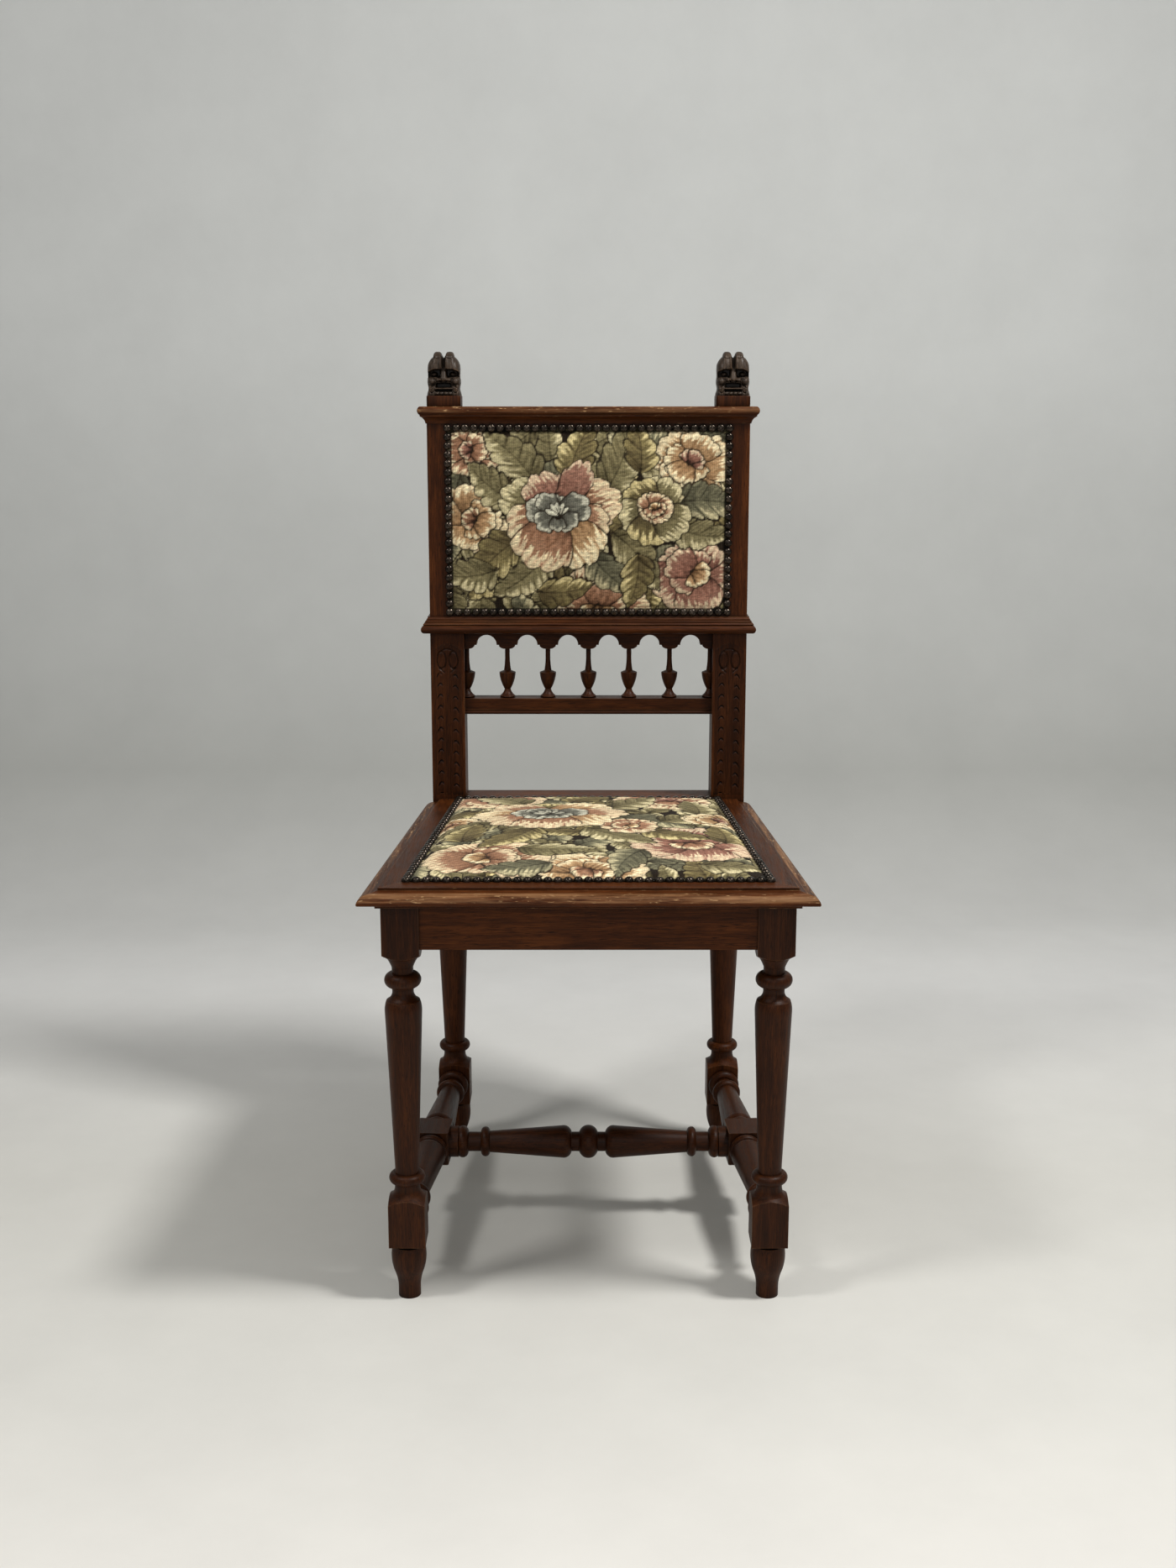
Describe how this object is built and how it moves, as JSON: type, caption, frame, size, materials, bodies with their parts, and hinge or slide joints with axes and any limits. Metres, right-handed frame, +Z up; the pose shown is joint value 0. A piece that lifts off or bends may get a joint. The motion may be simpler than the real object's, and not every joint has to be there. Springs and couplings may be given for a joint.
{
  "type": "carved dining chair",
  "caption": "Carved wooden dining chair with turned legs and stretchers, an arcaded spindle back, animal-head finials, and a nailed floral tapestry seat and back panel.",
  "frame": {"origin": "on the floor, under the middle of the chair's bounding box", "axes": "+Z up, the front of the chair faces -Y, +X to the right seen from the front"},
  "size_m": [0.477, 0.4687, 1.01],
  "materials": {
    "stained_wood": "dark stained and waxed",
    "carved_wood": "darker stained carving",
    "plain_wood": "plain unfinished",
    "screw_steel": "dull",
    "nail_brass": "dark bronzed",
    "tapestry": "woven floral tapestry",
    "stuffing": "hair and wadding",
    "webbing": "jute",
    "lining": "plain dark cloth"
  },
  "bodies": {
    "root": {"front_leg_left": "stained_wood", "front_leg_right": "stained_wood", "rear_post_left": "stained_wood", "rear_post_right": "stained_wood", "seat_rail_front": "stained_wood", "seat_rail_back": "stained_wood", "seat_rail_left": "stained_wood", "seat_rail_right": "stained_wood", "corner_block_front_left": "plain_wood", "corner_block_front_right": "plain_wood", "corner_block_rear_left": "plain_wood", "corner_block_rear_right": "plain_wood", "corner_block_screws": "screw_steel", "seat_frame_front": "stained_wood", "seat_frame_left": "stained_wood", "seat_frame_right": "stained_wood", "seat_frame_back": "stained_wood", "side_stretcher_left": "stained_wood", "side_stretcher_right": "stained_wood", "cross_stretcher": "stained_wood", "lower_back_rail": "stained_wood", "arcade_rail": "stained_wood", "spindle_1": "stained_wood", "spindle_2": "stained_wood", "spindle_3": "stained_wood", "spindle_4": "stained_wood", "spindle_5": "stained_wood", "half_spindle_left": "stained_wood", "half_spindle_right": "stained_wood", "middle_rail": "stained_wood", "middle_moulding": "stained_wood", "back_top_rail": "stained_wood", "crest_cornice": "stained_wood", "carved_finial_left": "carved_wood", "carved_finial_right": "carved_wood", "seat_webbing": "webbing", "seat_hessian": "webbing", "seat_stuffing": "stuffing", "seat_cover": "tapestry", "seat_nails": "nail_brass", "back_webbing": "webbing", "back_hessian": "webbing", "back_stuffing": "stuffing", "back_cover": "tapestry", "back_nails": "nail_brass", "back_lining": "lining"}
  },
  "joints": []
}
